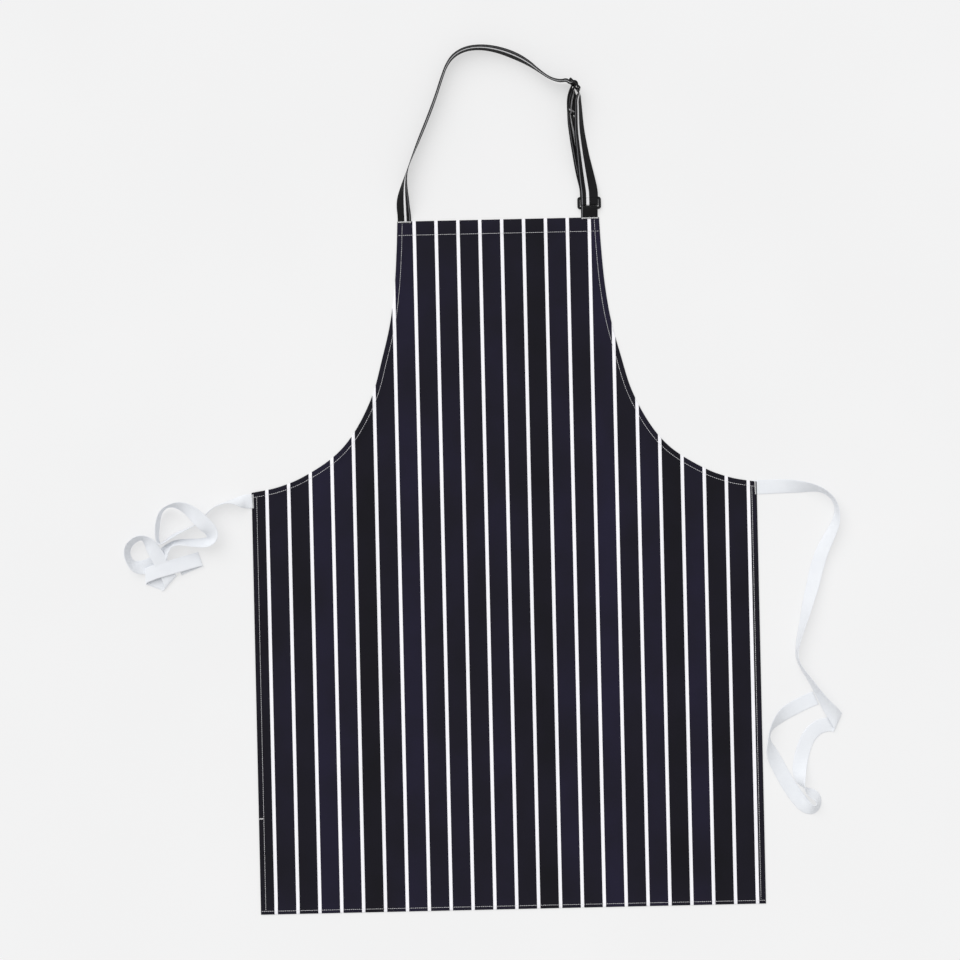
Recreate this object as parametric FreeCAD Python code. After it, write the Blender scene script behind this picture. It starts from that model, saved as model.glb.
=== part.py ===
import FreeCAD, Part
import math
import os

# Bib apron lying flat, face up on z = 0. Millimetres.
# +X is the side that carries the ring and slider, +Y runs up to the neck strap, +Z is the face.

os.makedirs("parts", exist_ok=True)
V = FreeCAD.Vector

# ---- driving dimensions -------------------------------------------------------------------------
HALF_WIDTH = 355.5          # half of the skirt's width
BOTTOM_Y = -584.0           # bottom hem edge
WAIST_Y = 10.0              # where the side edge turns into the armhole
TOP_Y = 387.0               # top edge of the bib
CLOTH = 0.6                 # one layer of cloth
HEM = 1.2                   # turned cloth behind the panel, two layers
FACE = HEM + CLOTH          # front face of the cloth
TOP_HEM = 21.0
BOTTOM_HEM = 7.0
SIDE_HEM = 8.5
TOP_STITCH = 19.5
BOTTOM_STITCH = 4.7
SIDE_STITCH = 7.0
THREAD_WIDTH = 0.8
THREAD = 0.3
TACK = 0.6
TACK_WIDTH = 1.8

# armhole edge, (distance from the middle, height), from the top corner to the waist corner
ARMHOLE = [(142, 387), (144, 345), (148, 294), (155.5, 243), (168, 193), (183, 142),
           (209, 92), (238, 59), (284, 30), (320, 16.5), (355.5, 10)]

WEBBING = 25.0              # neck strap width
WEB = 1.0                   # neck strap thickness
TAPE = 20.0                 # waist tie width
TIE = 1.0                   # waist tie thickness
TAB_WIDTH = 23.4
TAB = 1.1
GAP = 0.3                   # between parts of different bodies

RING_X = 128.5
RING_LOW_Y = 400.1          # lower bar of the ring, held by the tab
RING_HIGH_Y = 413.9         # upper bar, carries the strap
RING_Z = 3.05
RING_BAR = 1.9              # bar radius
RING_HALF = 14.8            # middle line of the side bars
RING_CORNER = 2.0
SLACK_Y = 408.3             # centre of the strap's turn, slack below the upper bar
TAB_FIT = 0.05              # radial clearance of the ring in the tab

SLIDER_MID = V(111.0, 571.5, 16.0)
SLIDER_BEARING = -45.0
SLIDER_LENGTH = 20.0
SLIDER_WIDTH = 32.0
SLIDER_THICK = 2.4
MIDDLE_BAR = 1.1            # radius of the slider's round middle bar
SLOT_OUT = 7.6
SLOT_WIDTH = 25.8

LABEL = (24.0, 34.0, 0.4)
LABEL_Y = -449.0

# ---- routes: x, y, z of the middle line, bearing and lift of the left-hand edge in degrees --------
NECK = [
    (-129.5, 373, 0.6, 180, 0),
    (-129.7, 391, 0.6, 180, 0),
    (-130.4, 402, 4.0, 180, -20),
    (-131, 415, 7.4, 180, -36),
    (-130.5, 430, 10.2, 182, -60),
    (-129, 444, 11.9, 184, -76),
    (-126, 457, 12.9, 184, -84),
    (-121, 471, 13.0, 160, -86),
    (-110, 497, 13.0, 20, -87),
    (-96, 529, 13.0, -20, -87),
    (-84, 559, 13.0, -25, -87),
    (-75, 585.5, 13.0, -30, -87),
    (-68, 603.5, 13.0, -40, -88),
    (-58, 617, 13.0, -60, -87),
    (-41, 626, 13.0, -80, -86),
    (-19, 628, 12.9, -90, -84),
    (4, 624, 12.9, -95, -80),
    (28, 615, 12.8, -100, -76),
    (47, 604.5, 13.0, -105, -83),
    (62, 592.5, 13.3, 70, -88),
    (77, 581.5, 14.2, 70, -86),
    (91, 577, 15.4, 60, -88),
]
NECK_SPLIT = 200.0          # length of the lower half of the neck strap

ADJUSTING = [
    (116.4, 551, 14.4, -12, -68),
    (115.9, 539, 13.6, -10, -63),
    (115.9, 524, 12.9, -5, -58),
    (116.4, 508, 11.6, 0, -52),
    (118.8, 488, 10.6, 2, -46),
    (121, 471, 9.6, 3, -40),
    (124.2, 450, 8.0, 3, -26),
    (127, 432, 6.2, 2, -10),
]

RETURN = [
    (127.4, 432, 1.4, 180, 4),
    (121.8, 451, 5.6, 180, 24),
    (116.0, 471, 9.6, 180, 41),
    (112.2, 488, 10.9, 180, 46),
    (108.6, 508, 11.9, 178, 53),
    (105.8, 520, 12.6, 176, 61),
]
RETURN_END = (104.4, 531, 12.9, 176, 68)

RIGHT_TIE = [
    (349, 2, 0.6, 90, 0),
    (372, 2.4, 0.6, 90, 0),
    (390, 3, 2.4, 90, 10),
    (412, 2, 5.8, 88, 30),
    (433, 0, 8.9, 82, 58),
    (449, -5, 10.3, 60, 78),
    (462, -16, 10.4, 40, 84),
    (467, -31, 10.4, 10, 82),
    (465, -49, 9.4, -15, 64),
    (455, -69, 7.9, -25, 48),
    (444, -91, 6.0, -22, 34),
    (436, -115, 5.1, -17, 28),
    (430, -139, 6.3, -14, 36),
    (423, -161, 7.8, -14, 48),
    (417, -183, 9.3, -15, 64),
    (411, -203, 10.0, -15, 75),
    (406, -223, 10.4, -15, 85),
    (405, -239, 10.8, 20, 88),
    (412, -254, 12.0, 35, 85),
    (423, -270, 13.2, 35, 76),
    (433, -286, 13.0, 35, 68),
    (443, -302, 11.4, 37, 50),
    (452, -314, 9.0, 42, 28),
    (458, -322.5, 6.6, 58, 12),
    (461.8, -328.6, 4.2, 65, 0),
    (462.4, -331.4, 2.2, 65, 0),
    (458, -333, 0.8, 65, 0),
    (447, -334, 0.6, 80, 0),
    (434, -337, 0.6, 108, 0),
    (421, -349, 0.6, 148, 0),
    (414, -365, 0.6, 165, 0),
    (409, -381, 1.0, 176, -4),
    (406, -397, 4.0, 186, -20),
    (406, -410, 8.0, 196, -50),
    (410, -420, 10.4, 250, -84),
    (417, -426, 9.4, 40, -62),
    (426, -431, 8.4, 30, -48),
    (432, -439, 9.2, 5, -58),
    (431, -449, 9.4, -45, -62),
    (423, -453, 7.0, -85, -40),
    (412, -447, 3.0, -115, -12),
    (400, -432, 0.9, -143, 0),
    (389, -414, 0.6, -148, 0),
    (378, -393, 0.9, 206, 4),
    (368, -372, 5.4, 196, 30),
    (363, -354, 9.9, 186, 76),
    (366, -339, 10.0, 152, 74),
    (375, -327, 7.8, 132, 46),
    (388, -316, 3.8, 120, 18),
    (404, -308, 0.9, 115, 0),
    (419, -301, 0.6, 113, 0),
    (432, -296, 0.6, 112, 0),
]

LEFT_TIE = [
    (-349, -2, 0.6, 270, 0),
    (-361, -2, 0.6, 270, 0),
    (-371, -1.5, 7.6, 270, 46),
    (-382, -1, 9.8, 268, 74),
    (-393, -3, 10.3, 280, 85),
    (-408, -8, 10.5, 300, 86),
    (-418, -17, 10.5, 330, 86),
    (-426, -28, 10.5, 320, 86),
    (-438, -35, 10.5, 300, 86),
    (-452, -41, 10.5, 290, 82),
    (-465, -47, 10.4, 300, 76),
    (-477, -55, 10.4, 310, 80),
    (-485, -60, 10.5, 270, 88),
    (-488.5, -54, 10.6, 180, 86),
    (-488.5, -40, 10.8, 180, 80),
    (-486.5, -26, 11.6, 175, 80),
    (-483, -15, 12.8, 160, 84),
    (-476, -8, 15.0, 140, 86),
    (-466, -5, 18.5, 110, 78),
    (-455, -6, 22.0, 95, 54),
    (-443, -11, 24.5, 80, 30),
    (-431, -21, 26.0, 60, 12),
    (-420, -32, 25.0, 45, 4),
    (-411.5, -41, 21.5, 20, 15),
    (-409.5, -50, 17.0, -5, 35),
    (-414, -56.5, 13.2, -55, 48),
    (-423, -58.8, 10.6, -85, 50),
    (-435, -58.5, 10.2, -88, 56),
    (-447, -57.5, 10.4, -90, 62),
    (-459, -57, 10.5, -92, 68),
    (-468, -59, 10.2, -80, 68),
    (-476, -66, 8.6, -45, 54),
    (-482, -74, 5.8, -35, 30),
    (-489, -82, 2.2, -45, 8),
    (-499, -88, 0.9, -70, 0),
    (-511, -92, 1.8, -85, 8),
    (-521, -90, 7.0, -110, 45),
    (-528, -83, 9.9, -145, 70),
    (-532, -71, 10.2, -175, 73),
    (-529, -60, 10.2, 155, 70),
    (-520, -52, 10.6, 125, 70),
    (-511, -49, 11.6, 95, 70),
    (-502.5, -54, 12.6, 60, 44),
    (-496, -63, 12.6, 42, 18),
    (-490, -73, 11.0, 32, 4),
    (-484, -85, 8.4, 27, 0),
    (-478.5, -96, 6.2, 28, 0),
    (-475.0, -104.5, 4.8, 38, 0),
    (-472.8, -110.8, 3.9, 46, 0),
    (-472.4, -114.2, 2.2, 47, 0),
    (-476.5, -115.8, 0.8, 48, 0),
    (-484, -113.5, 0.6, 58, 0),
    (-494, -110, 0.6, 68, 0),
    (-503, -106, 0.9, 84, 0),
    (-508, -104, 3.6, 92, 0),
    (-503, -101.5, 6.6, 97, 0),
    (-490, -97, 8.2, 104, 0),
    (-474, -93, 7.8, 104, 0),
    (-459, -89, 6.4, 104, 0),
    (-444, -85, 5.0, 105, 0),
    (-433, -82, 4.2, 108, 0),
    (-428, -81.6, 2.4, 108, 0),
    (-434, -84, 0.8, 108, 0),
    (-447, -89, 0.6, 108, 0),
    (-460, -95, 0.6, 112, 0),
]


# ---- helpers -------------------------------------------------------------------------------------
def edge_direction(bearing, lift):
    b = math.radians(bearing)
    e = math.radians(lift)
    return V(math.cos(b) * math.cos(e), math.sin(b) * math.cos(e), math.sin(e))


def stations(route):
    """Straight runs joined by tangent arcs: list of (point, tangent, distance) and the knot distances."""
    pts = [V(*q[:3]) for q in route]
    out = [(pts[0], (pts[1] - pts[0]).normalize(), 0.0)]
    knots = [0.0]
    radii = []
    for i in range(1, len(pts) - 1):
        a = pts[i] - pts[i - 1]
        b = pts[i + 1] - pts[i]
        shorter = min(a.Length, b.Length)
        ta = V(a).normalize()
        tb = V(b).normalize()
        turn = math.acos(max(-1.0, min(1.0, ta.dot(tb))))
        if turn < 1e-3:
            s = out[-1][2] + (pts[i] - out[-1][0]).Length
            out.append((pts[i], ta, s))
            knots.append(s)
            continue
        reach = 0.45 * shorter
        radius = reach / math.tan(turn / 2)
        radii.append(radius)
        start = pts[i] - ta * reach
        side = (tb - ta * ta.dot(tb)).normalize()
        centre = start + side * radius
        last = out[-1]
        s0 = last[2] + (start - last[0]).Length
        out.append((start, ta, s0))
        steps = max(2, int(math.ceil(math.degrees(turn) / 18.0)))
        for k in range(1, steps + 1):
            w = turn * k / steps
            p = centre - side * radius * math.cos(w) + ta * radius * math.sin(w)
            t = ta * math.cos(w) + side * math.sin(w)
            out.append((p, t, s0 + radius * w))
        knots.append(s0 + radius * turn / 2)
    last = out[-1]
    tail = pts[-1] - last[0]
    end = last[2] + tail.Length
    out.append((pts[-1], V(tail).normalize(), end))
    knots.append(end)
    return out, knots, radii


def slant(t, w):
    """Sine of the angle between the line and its cross direction; 1 where the band runs square."""
    return max(0.5, t.cross(w).Length)


def frames(route, width, thick):
    """(point, tangent, cross direction, distance) at every station, kept above the table."""
    line, knots, radii = stations(route)
    edges = [edge_direction(q[3], q[4]) for q in route]
    out = []
    k = 0
    for p, t, s in line:
        while k < len(knots) - 2 and s > knots[k + 1]:
            k += 1
        f = (s - knots[k]) / (knots[k + 1] - knots[k])
        w = (edges[k] * (1 - f) + edges[k + 1] * f).normalize()
        n = t.cross(w).normalize()
        reach = abs(w.z) * width / 2 / slant(t, w) + abs(n.z) * thick / 2
        lift = max(0.0, reach - p.z)
        out.append((p + V(0, 0, lift), t, w, s))
    return out, radii


def at_distance(line, s):
    for a, b in zip(line, line[1:]):
        if a[3] <= s <= b[3]:
            f = (s - a[3]) / (b[3] - a[3])
            t = (a[1] * (1 - f) + b[1] * f).normalize()
            w = (a[2] * (1 - f) + b[2] * f).normalize()
            return (a[0] * (1 - f) + b[0] * f, t, w, s)


def piece_of(line, s0, s1):
    inner = [q for q in line if s0 + 0.05 < q[3] < s1 - 0.05]
    return [at_distance(line, s0)] + inner + [at_distance(line, s1)]


def ribbon(line, width, thick):
    wires = []
    for p, t, w, s in line:
        n = t.cross(w).normalize()
        a = w * (width / 2 / slant(t, w))
        b = n * (thick / 2)
        wires.append(Part.makePolygon([p + a + b, p - a + b, p - a - b, p + a - b, p + a + b]))
    solid = Part.makeLoft(wires, True, True)
    if solid.Volume < 0:
        solid.reverse()
    return solid


def report_cord(name, line, radii, width, thick, solid):
    length = line[-1][3] - line[0][3]
    print("%s: length %.0f, smallest radius %.1f, largest %.0f, volume %.0f of %.0f, valid %s" % (
        name, length, min(radii), max(radii), solid.Volume, length * width * thick, solid.isValid()))


def flat(points, z0, z1):
    face = Part.Face(Part.makePolygon([V(x, y, z0) for x, y in points + points[:1]]))
    return face.extrude(V(0, 0, z1 - z0))


def box(x0, x1, y0, y1, z0, z1):
    return Part.makeBox(x1 - x0, y1 - y0, z1 - z0, V(x0, y0, z0))


def spline(points, z):
    curve = Part.BSplineCurve()
    curve.interpolate([V(x, y, z) for x, y in points])
    return curve


def armhole_offset(inset, side):
    curve = spline(ARMHOLE, 0)
    out = []
    count = 28
    for i in range(count + 1):
        u = curve.FirstParameter + (curve.LastParameter - curve.FirstParameter) * i / count
        p = curve.value(u)
        t = curve.tangent(u)[0]
        out.append((side * (p.x + t.y * inset), p.y - t.x * inset))
    return out


def closed(edges, z0, z1):
    face = Part.Face(Part.Wire(edges))
    return face.extrude(V(0, 0, z1 - z0))


def band(first, second, z0, z1):
    """Flat solid between two open splines, ends joined straight."""
    a = spline(first, z0).toShape()
    b = spline(second, z0).toShape()
    ends = [Part.makeLine(V(*first[0], z0), V(*second[0], z0)),
            Part.makeLine(V(*first[-1], z0), V(*second[-1], z0))]
    return closed(Part.__sortEdges__([a, b] + ends), z0, z1)


nodes = {}

# ---- cloth panel ---------------------------------------------------------------------------------
right_edge = [(x, y) for x, y in ARMHOLE]
left_edge = [(-x, y) for x, y in ARMHOLE]
outline = [
    spline(right_edge, HEM).toShape(),
    spline(left_edge, HEM).toShape(),
    Part.makeLine(V(142, TOP_Y, HEM), V(-142, TOP_Y, HEM)),
    Part.makeLine(V(HALF_WIDTH, WAIST_Y, HEM), V(HALF_WIDTH, BOTTOM_Y, HEM)),
    Part.makeLine(V(-HALF_WIDTH, WAIST_Y, HEM), V(-HALF_WIDTH, BOTTOM_Y, HEM)),
    Part.makeLine(V(-HALF_WIDTH, BOTTOM_Y, HEM), V(HALF_WIDTH, BOTTOM_Y, HEM)),
]
nodes["body_panel"] = closed(Part.__sortEdges__(outline), HEM, FACE)

# ---- hems: the panel's own cloth turned under ----------------------------------------------------
strap_pocket = box(-130 - WEBBING / 2, -129.3 + WEBBING / 2, 372.9, TOP_Y + 1, -1, 3)
tab_pocket = box(RING_X - TAB_WIDTH / 2, RING_X + TAB_WIDTH / 2, 367.9, TOP_Y + 1, -1, 3)
under_panel = closed(Part.__sortEdges__(outline), HEM, HEM + 3)
under_panel.translate(V(0, 0, -HEM))
top = box(-160, 160, TOP_Y - TOP_HEM, TOP_Y, 0, HEM).common(under_panel)
nodes["top_hem"] = top.cut(strap_pocket).cut(tab_pocket)
nodes["bottom_hem"] = box(-HALF_WIDTH, HALF_WIDTH, BOTTOM_Y, BOTTOM_Y + BOTTOM_HEM, 0, HEM)
for side, name, tie_y in ((-1, "left", LEFT_TIE[0][1]), (1, "right", RIGHT_TIE[0][1])):
    pocket = box(side * 352 - 5, side * 352 + 5, tie_y - TAPE / 2, tie_y + TAPE / 2, -1, 3)
    low = WAIST_Y - SIDE_HEM
    x0, x1 = sorted((side * HALF_WIDTH, side * (HALF_WIDTH - SIDE_HEM)))
    nodes[name + "_side_hem"] = box(x0, x1, BOTTOM_Y + BOTTOM_HEM, low, 0, HEM).cut(pocket)
    outer = [(side * x, y) for x, y in armhole_offset(0, 1)]
    inner = armhole_offset(SIDE_HEM, side)
    inner[-1] = (side * HALF_WIDTH, WAIST_Y - SIDE_HEM)
    hem = band(outer, inner, 0, HEM)
    nodes[name + "_armhole_hem"] = hem.cut(pocket).cut(box(-200, 200, TOP_Y - TOP_HEM, TOP_Y + 9, -1, 3))

# ---- rows of stitching on the face ---------------------------------------------------------------
z0, z1 = FACE, FACE + THREAD
half = THREAD_WIDTH / 2
for side, name in ((-1, "left"), (1, "right")):
    a = armhole_offset(SIDE_STITCH - half, side)
    b = armhole_offset(SIDE_STITCH + half, side)
    row = band(a, b, z0, z1)
    nodes[name + "_armhole_stitching"] = row.common(box(-352, 352, 0, TOP_Y - TACK_WIDTH - GAP, 0, 5))
    x0, x1 = sorted((side * (HALF_WIDTH - SIDE_STITCH - half), side * (HALF_WIDTH - SIDE_STITCH + half)))
    nodes[name + "_side_stitching"] = box(x0, x1, BOTTOM_Y + BOTTOM_STITCH + 1, WAIST_Y - 9, z0, z1)
stitch_y = BOTTOM_Y + BOTTOM_STITCH
nodes["bottom_hem_stitching"] = box(-HALF_WIDTH + 1, HALF_WIDTH - 1, stitch_y - half, stitch_y + half, z0, z1)
stitch_y = TOP_Y - TOP_STITCH
nodes["top_hem_stitching"] = box(-134, 134, stitch_y - half, stitch_y + half, z0, z1)

# ---- neck strap ----------------------------------------------------------------------------------
b = math.radians(SLIDER_BEARING)
U = V(math.cos(b), math.sin(b), 0)
N = V(-math.sin(b), math.cos(b), 0)


def on_slider(u, n, z=0.0, bearing=SLIDER_BEARING + 90, lift=-89.9):
    p = SLIDER_MID + U * u + N * n
    return (p.x, p.y, p.z + z, bearing, lift)


through = [on_slider(-7.0, -2.75), on_slider(-2.9, 3.6), on_slider(2.9, 3.6), on_slider(7.0, -2.75)]
strap_route = NECK + [on_slider(-13, -2.6, -0.4)] + through[:2] + [on_slider(0, 3.61)]
neck, neck_radii = frames(strap_route, WEBBING, WEB)
end = neck[-1][3]
lower = piece_of(neck, 0, NECK_SPLIT)
upper = piece_of(neck, NECK_SPLIT + GAP, end)
nodes["neck_strap_lower"] = ribbon(lower, WEBBING, WEB)
nodes["neck_strap_upper"] = ribbon(upper, WEBBING, WEB)
report_cord("neck_strap_lower", lower, neck_radii, WEBBING, WEB, nodes["neck_strap_lower"])
report_cord("neck_strap_upper", upper, neck_radii, WEBBING, WEB, nodes["neck_strap_upper"])

loop_top = RING_Z + RING_BAR + 0.1 + WEB / 2
loop_low = RING_Z - RING_BAR - 0.1 - WEB / 2
run_route = [on_slider(0.3, 3.61)] + through[2:] + [on_slider(13, -2.6, -0.8)] + ADJUSTING
run_route += [(RING_X, 422, loop_top, 0, 0), (RING_X, RING_HIGH_Y, loop_top + 0.01, 0, 0)]
run, run_radii = frames(run_route, WEBBING, WEB)
nodes["adjusting_run"] = ribbon(run, WEBBING, WEB)
report_cord("adjusting_run", run, run_radii, WEBBING, WEB, nodes["adjusting_run"])

back_route = [(RING_X, RING_HIGH_Y + 0.05, loop_low, 180, 0), (RING_X, 422, loop_low + 0.05, 180, 0)] + RETURN
back_route += [RETURN_END]
back, back_radii = frames(back_route, WEBBING, WEB)
nodes["return_run"] = ribbon(back, WEBBING, WEB)
report_cord("return_run", back, back_radii, WEBBING, WEB, nodes["return_run"])

loop_half = (loop_top - loop_low) / 2
loop_axis = V(RING_X - WEBBING / 2, SLACK_Y, RING_Z)
loop = []
for radius in (loop_half + WEB / 2, loop_half - WEB / 2):
    turn = Part.makeCylinder(radius, WEBBING, loop_axis, V(1, 0, 0)).common(box(0, 200, SLACK_Y - 9, SLACK_Y, -2, 9))
    legs = box(RING_X - WEBBING / 2, RING_X + WEBBING / 2, SLACK_Y, RING_HIGH_Y, RING_Z - radius, RING_Z + radius)
    loop.append(turn.fuse(legs))
nodes["ring_end_loop"] = loop[0].cut(loop[1]).removeSplitter()

# sewn end: two layers round the slider's middle bar, tacked below it
e = RETURN_END
t = V(back[-1][1])
w = back[-1][2]
n = t.cross(w).normalize()
tail = V(e[0], e[1], e[2]) + t * 0.6
fold_route = [
    (tail.x, tail.y, tail.z, e[3], e[4]),
    (104.8, 546, 13.4, 172, 62),
    (106.6, 558, 14.8, 160, 66),
    on_slider(-1.9, -3.6, 0, 45, 89.9),
    on_slider(-2.05, -0.8, 0, 45, 89.9),
    on_slider(-1.9, 1.9, 0, 45, 89.9),
    on_slider(1.9, 1.9, 0, 45, 89.9),
    on_slider(2.05, -0.8, 0, 45, 89.9),
    on_slider(2.2, -3.6, 0, 45, 89.9),
    (108.4, 557.2, 15.0, 160, 66),
    (106.4, 546, 13.8, 172, 62),
    (tail.x + n.x * 1.2, tail.y + n.y * 1.2, tail.z + n.z * 1.2, e[3], e[4]),
]
fold, fold_radii = frames(fold_route, WEBBING, WEB)
nodes["strap_end_fold"] = ribbon(fold, WEBBING, WEB)
report_cord("strap_end_fold", fold, fold_radii, WEBBING, WEB, nodes["strap_end_fold"])
q, t, w, s = at_distance(fold, fold[-1][3] - 4)
tack_mid = q - t.cross(w).normalize() * (WEB / 2 + 0.3)
tack = [(tack_mid - t * 0.9, t, w, 0.0), (tack_mid + t * 0.9, t, w, 1.8)]
nodes["end_fold_stitching"] = ribbon(tack, WEBBING - 4, 0.36)

# ---- slider, ring and tab ------------------------------------------------------------------------
frame_box = Part.makeBox(SLIDER_LENGTH, SLIDER_THICK, SLIDER_WIDTH,
                         V(-SLIDER_LENGTH / 2, -SLIDER_THICK / 2, -SLIDER_WIDTH / 2))
frame_box = frame_box.makeFillet(3.0, [q for q in frame_box.Edges if abs(q.tangentAt(q.FirstParameter).y) > 0.9])
frame_box = frame_box.cut(Part.makeBox(2 * SLOT_OUT, 9, SLOT_WIDTH, V(-SLOT_OUT, -4.5, -SLOT_WIDTH / 2)))
frame_box = frame_box.fuse(Part.makeCylinder(MIDDLE_BAR, SLOT_WIDTH + 2, V(0, 0, -SLOT_WIDTH / 2 - 1)))
frame_box.rotate(V(0, 0, 0), V(0, 0, 1), SLIDER_BEARING)
frame_box.translate(SLIDER_MID)
nodes["slider_buckle"] = frame_box

corner = RING_CORNER
half_y = (RING_HIGH_Y - RING_LOW_Y) / 2
mid_y = (RING_HIGH_Y + RING_LOW_Y) / 2
pieces = []
for s in (-1, 1):
    pieces.append(Part.makeCylinder(RING_BAR, 2 * (RING_HALF - corner),
                                    V(RING_X - RING_HALF + corner, mid_y + s * half_y, RING_Z), V(1, 0, 0)))
    pieces.append(Part.makeCylinder(RING_BAR, 2 * (half_y - corner),
                                    V(RING_X + s * RING_HALF, mid_y - half_y + corner, RING_Z), V(0, 1, 0)))
for k, (sx, sy) in enumerate(((1, 1), (-1, 1), (-1, -1), (1, -1))):
    torus = Part.makeTorus(corner, RING_BAR, V(0, 0, 0), V(0, 0, 1), 0, 360, 90)
    torus.rotate(V(0, 0, 0), V(0, 0, 1), 90 * k)
    torus.translate(V(RING_X + sx * (RING_HALF - corner), mid_y + sy * (half_y - corner), RING_Z))
    pieces.append(torus)
ring = pieces[0].multiFuse(pieces[1:]).removeSplitter()
nodes["strap_ring"] = ring

R = RING_BAR + TAB_FIT + TAB
r = RING_BAR + TAB_FIT
ay, az = 389.0, TAB
dy, dz = RING_LOW_Y - ay, RING_Z - az
dist = math.hypot(dy, dz)
beta = math.atan2(dz, dy) + math.asin(R / dist)
up = (-math.sin(beta), math.cos(beta))
outer_t = V(0, RING_LOW_Y + R * up[0], RING_Z + R * up[1])
inner_t = V(0, RING_LOW_Y + r * up[0], RING_Z + r * up[1])
meet = inner_t.y - (inner_t.z - TAB) / math.tan(beta)
low_y = TOP_Y - TOP_STITCH + 0.5
far_o = V(0, RING_LOW_Y + R, RING_Z)
far_i = V(0, RING_LOW_Y + r, RING_Z)
outside = [
    Part.makeLine(V(0, low_y, 0), V(0, RING_LOW_Y, RING_Z - R)),
    Part.Arc(V(0, RING_LOW_Y, RING_Z - R), far_o, outer_t).toShape(),
    Part.makeLine(outer_t, V(0, ay, az)),
    Part.makeLine(V(0, ay, az), V(0, low_y, az)),
    Part.makeLine(V(0, low_y, az), V(0, low_y, 0)),
]
inside = [
    Part.makeLine(V(0, meet, TAB), V(0, RING_LOW_Y, TAB)),
    Part.Arc(V(0, RING_LOW_Y, TAB), far_i, inner_t).toShape(),
    Part.makeLine(inner_t, V(0, meet, TAB)),
]
solid_out = Part.Face(Part.Wire(outside)).extrude(V(TAB_WIDTH, 0, 0))
solid_in = Part.Face(Part.Wire(inside)).extrude(V(TAB_WIDTH, 0, 0))
tab = solid_out.cut(solid_in)
tab.translate(V(RING_X - TAB_WIDTH / 2, 0, 0))
nodes["ring_tab"] = tab

# ---- bar tacks -----------------------------------------------------------------------------------
t0, t1 = FACE, FACE + TACK
nodes["strap_bar_tack"] = box(-141, -123, TOP_Y - TACK_WIDTH, TOP_Y, t0, t1)
nodes["tab_bar_tack"] = box(118, 140.5, TOP_Y - TACK_WIDTH, TOP_Y, t0, t1)
left_y = LEFT_TIE[0][1]
right_y = RIGHT_TIE[0][1]
nodes["left_tie_stitching"] = box(-354.6, -352.8, left_y - 9.5, left_y + 9.5, t0, t1)
nodes["right_tie_stitching"] = box(352.8, 354.6, right_y - 9.5, right_y + 7.5, t0, t1)

# ---- waist ties ----------------------------------------------------------------------------------
for name, route in (("left_waist_tie", LEFT_TIE), ("right_waist_tie", RIGHT_TIE)):
    line, radii = frames(route, TAPE, TIE)
    nodes[name] = ribbon(line, TAPE, TIE)
    report_cord(name, line, radii, TAPE, TIE, nodes[name])

# ---- care label ----------------------------------------------------------------------------------
hem_in = -HALF_WIDTH + SIDE_HEM
nodes["care_label"] = box(hem_in, hem_in + LABEL[1], LABEL_Y - LABEL[0] / 2, LABEL_Y + LABEL[0] / 2,
                          HEM - LABEL[2], HEM)
nodes["care_label_stitch"] = box(-354.6, -349.4, LABEL_Y - 0.5, LABEL_Y + 0.5, z0, z1)

for name, shape in nodes.items():
    solids = shape.Solids
    if len(solids) != 1 or not shape.isValid():
        print("CHECK", name, "solids", len(solids), "valid", shape.isValid())
    if shape.BoundBox.ZMin < -1e-6:
        print("CHECK", name, "below the floor", shape.BoundBox.ZMin)
    shape.exportStep("parts/%s.step" % name)
whole = Part.makeCompound([s for s in nodes.values()])
bb = whole.BoundBox
print(len(nodes), "parts, x %.1f %.1f y %.1f %.1f z %.1f %.1f" % (
    bb.XMin, bb.XMax, bb.YMin, bb.YMax, bb.ZMin, bb.ZMax))
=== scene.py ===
import math

import bpy
import bmesh
import numpy as np
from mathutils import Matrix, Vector, geometry


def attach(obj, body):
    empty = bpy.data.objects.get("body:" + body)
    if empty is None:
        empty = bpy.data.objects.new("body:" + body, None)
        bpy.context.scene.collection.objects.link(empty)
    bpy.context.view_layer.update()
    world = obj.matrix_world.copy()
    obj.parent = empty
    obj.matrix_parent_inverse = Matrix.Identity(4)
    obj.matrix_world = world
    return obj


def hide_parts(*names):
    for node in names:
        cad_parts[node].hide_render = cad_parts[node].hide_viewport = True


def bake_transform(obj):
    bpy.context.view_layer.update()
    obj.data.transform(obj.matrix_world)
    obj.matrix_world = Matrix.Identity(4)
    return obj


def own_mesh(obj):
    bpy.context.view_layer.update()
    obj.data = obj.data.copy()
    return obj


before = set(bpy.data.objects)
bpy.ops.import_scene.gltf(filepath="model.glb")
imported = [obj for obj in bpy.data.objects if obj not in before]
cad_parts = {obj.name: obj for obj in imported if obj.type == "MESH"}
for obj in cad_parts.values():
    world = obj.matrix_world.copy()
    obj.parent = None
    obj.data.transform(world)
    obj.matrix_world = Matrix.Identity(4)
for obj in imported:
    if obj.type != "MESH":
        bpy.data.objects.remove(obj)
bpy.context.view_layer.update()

MM = 0.001
scene = bpy.context.scene

# ================================================================ camera
FRAME_WIDTH = 960 * 1.408   # width of the table that the frame takes in, millimetres
SENSOR = 36.0
DISTANCE = 3.0              # camera above the table, metres
CAMERA_ROLL = -1.28         # degrees
cam_data = bpy.data.cameras.new("camera")
cam_data.sensor_width = SENSOR
cam_data.lens = SENSOR * DISTANCE * 1000 / FRAME_WIDTH
cam_data.clip_end = 20
camera = bpy.data.objects.new("camera", cam_data)
camera.location = (-0.0337, 0.0209, DISTANCE)
camera.rotation_euler = (0, 0, math.radians(CAMERA_ROLL))
scene.collection.objects.link(camera)
scene.camera = camera

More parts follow.
